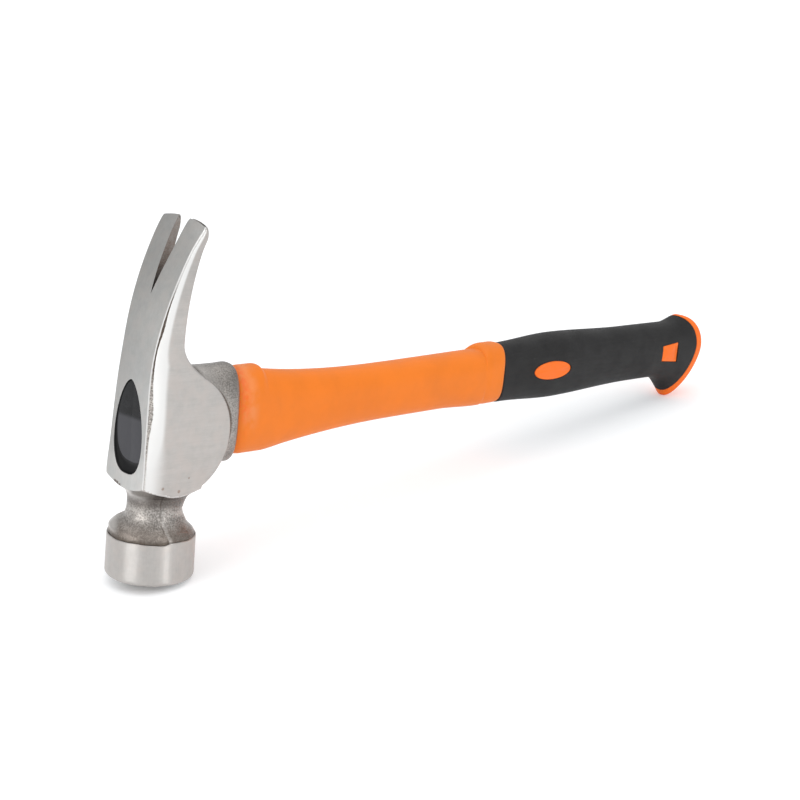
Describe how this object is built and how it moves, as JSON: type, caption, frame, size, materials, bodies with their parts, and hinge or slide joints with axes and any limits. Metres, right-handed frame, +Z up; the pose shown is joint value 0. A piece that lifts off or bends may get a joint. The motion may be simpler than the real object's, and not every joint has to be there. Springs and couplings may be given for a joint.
{
  "type": "framing hammer",
  "caption": "Hand hammer for framing: forged head with flat face and straight rip claw, resin-bonded to a fibreglass handle with plastic jacket and rubber grip.",
  "frame": {"origin": "middle of the bounding box at floor level, with the hammer lying on the edge of its striking face and the heel of its butt", "axes": "+X from the head towards the butt along the floor, +Y across the head, +Z up from the striking face towards the claw"},
  "size_m": [0.366, 0.034, 0.1365],
  "materials": {
    "head_steel": "ground and polished on the band, cheeks and bell, as forged on the neck and boss",
    "eye_resin": "glossy cast resin",
    "glass_fibre": "pultruded rod, raw",
    "jacket_plastic": "satin moulded plastic",
    "grip_rubber": "fine matt moulded rubber"
  },
  "bodies": {
    "root": {"hammer_head": "head_steel", "eye_epoxy": "eye_resin", "fibreglass_core": "glass_fibre", "handle_jacket": "jacket_plastic", "grip_sleeve": "grip_rubber"}
  },
  "joints": []
}
